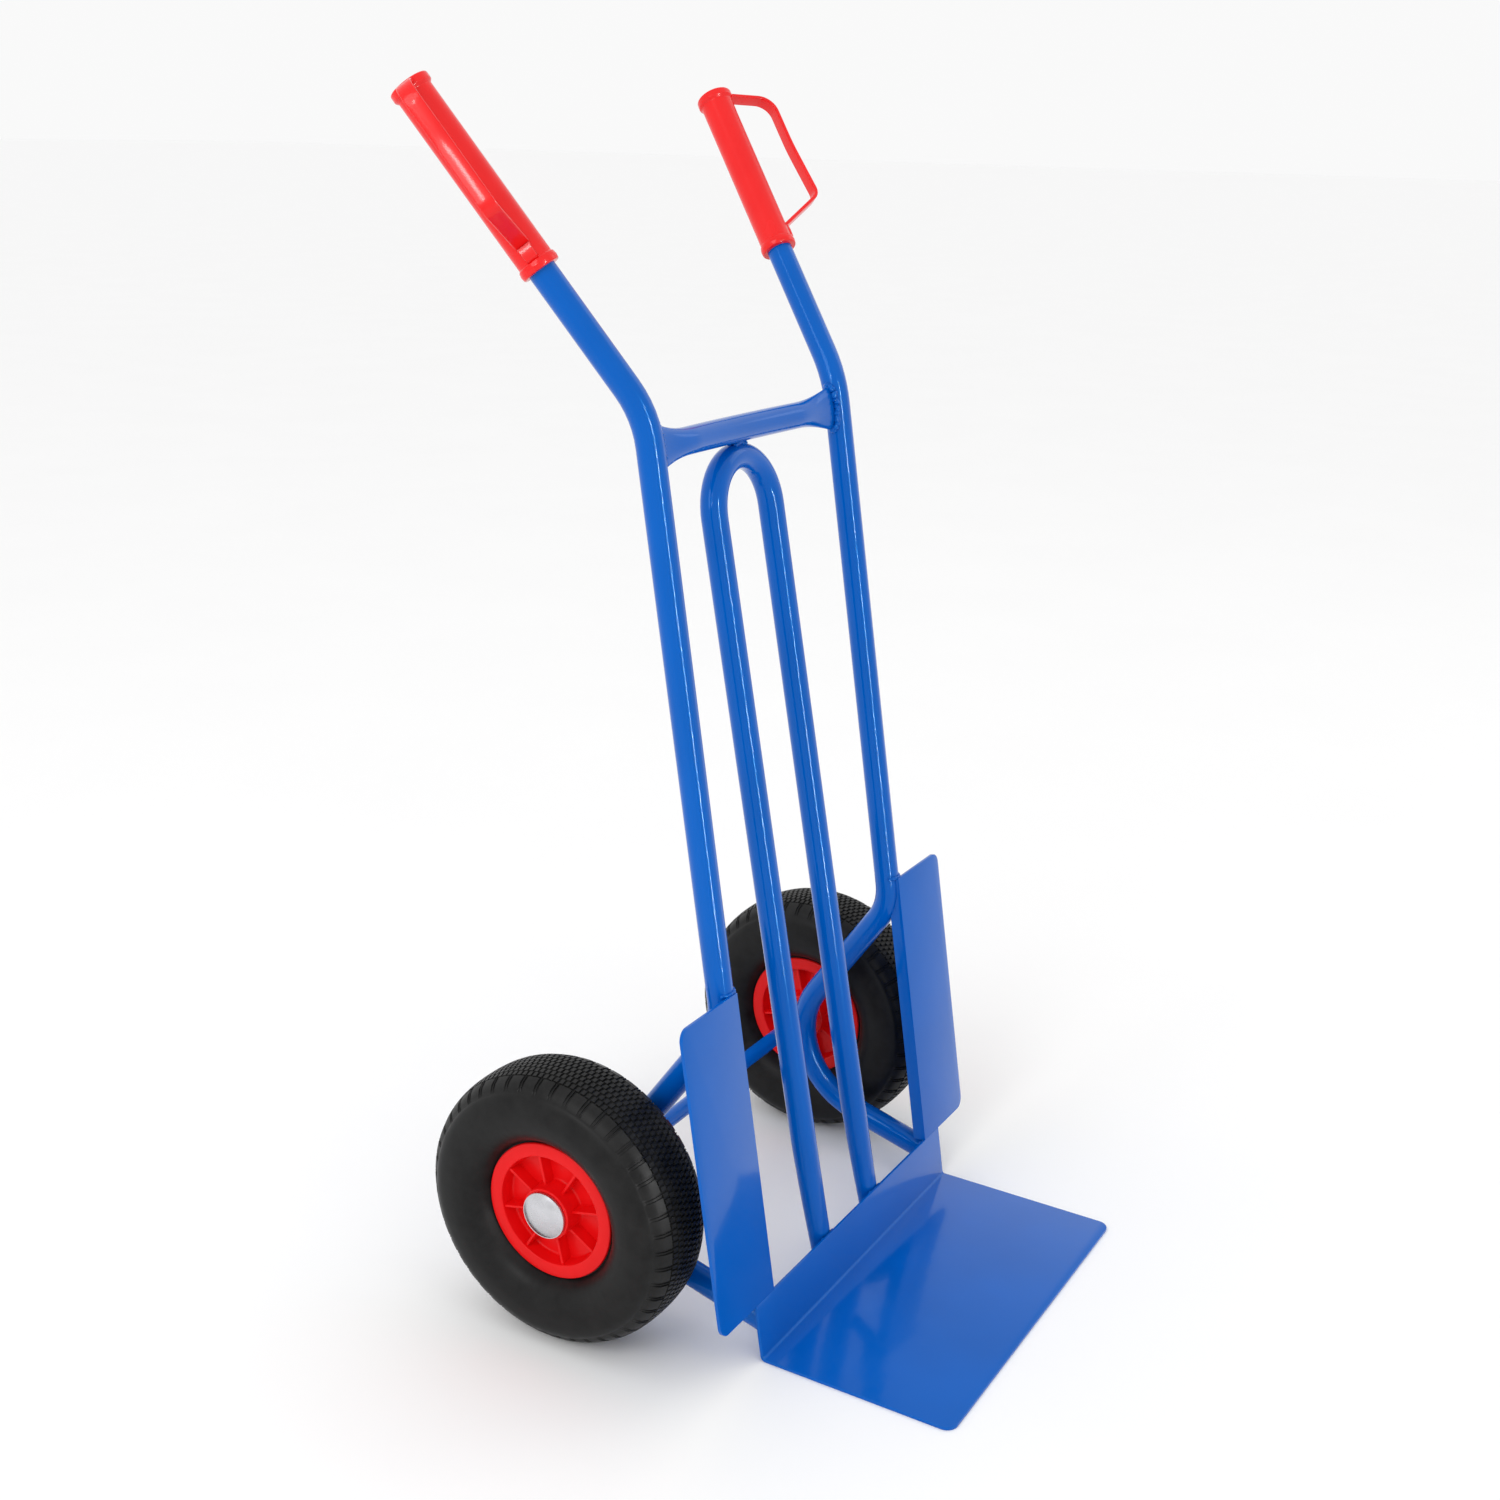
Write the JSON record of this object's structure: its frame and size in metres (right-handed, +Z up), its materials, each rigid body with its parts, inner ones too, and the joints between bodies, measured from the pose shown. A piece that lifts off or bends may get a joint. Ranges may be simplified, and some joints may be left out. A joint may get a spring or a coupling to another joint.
{
  "type": "hand truck",
  "caption": "Upright tubular steel hand truck with a solid toe plate, flat wheel guards, angled handles with knuckle guards and spoked plastic wheels.",
  "frame": {"origin": "on the floor, under the middle of the whole truck's box", "axes": "+Z up, X across the truck along the axle, +Y to the rear, towards the person who holds the handles"},
  "size_m": [0.5556, 0.5238, 1.0769],
  "materials": {
    "blue_paint": "gloss",
    "red_grip": "gloss",
    "red_rim": "satin",
    "tyre_rubber": "matte",
    "zinc_plate": "satin",
    "bearing_steel": "polished",
    "black_plastic": "matte"
  },
  "bodies": {
    "frame": {"hairpin_tube": "blue_paint", "crossbar": "blue_paint", "toe_plate": "blue_paint", "axle": "blue_paint", "side_tube_left": "blue_paint", "wheel_guard_left": "blue_paint", "wheel_spacer_left": "black_plastic", "wheel_washer_left": "zinc_plate", "dome_cap_left": "zinc_plate", "grip_left": "red_grip", "side_tube_right": "blue_paint", "wheel_guard_right": "blue_paint", "wheel_spacer_right": "black_plastic", "wheel_washer_right": "zinc_plate", "dome_cap_right": "zinc_plate", "grip_right": "red_grip"},
    "wheel_left": {"tyre_left": "tyre_rubber", "rim_outer_left": "red_rim", "rim_inner_left": "red_rim", "bearing_outer_left": "bearing_steel", "bearing_inner_left": "bearing_steel"},
    "wheel_right": {"tyre_right": "tyre_rubber", "rim_outer_right": "red_rim", "rim_inner_right": "red_rim", "bearing_outer_right": "bearing_steel", "bearing_inner_right": "bearing_steel"}
  },
  "joints": [
    {"name": "wheel_left_spin", "type": "hinge", "parent": "frame", "child": "wheel_left", "pos_m": [-0.2325, 0.1014, 0.13], "axis": [1, 0, 0], "continuous": true},
    {"name": "wheel_right_spin", "type": "hinge", "parent": "frame", "child": "wheel_right", "pos_m": [0.2325, 0.1014, 0.13], "axis": [1, 0, 0], "continuous": true}
  ]
}
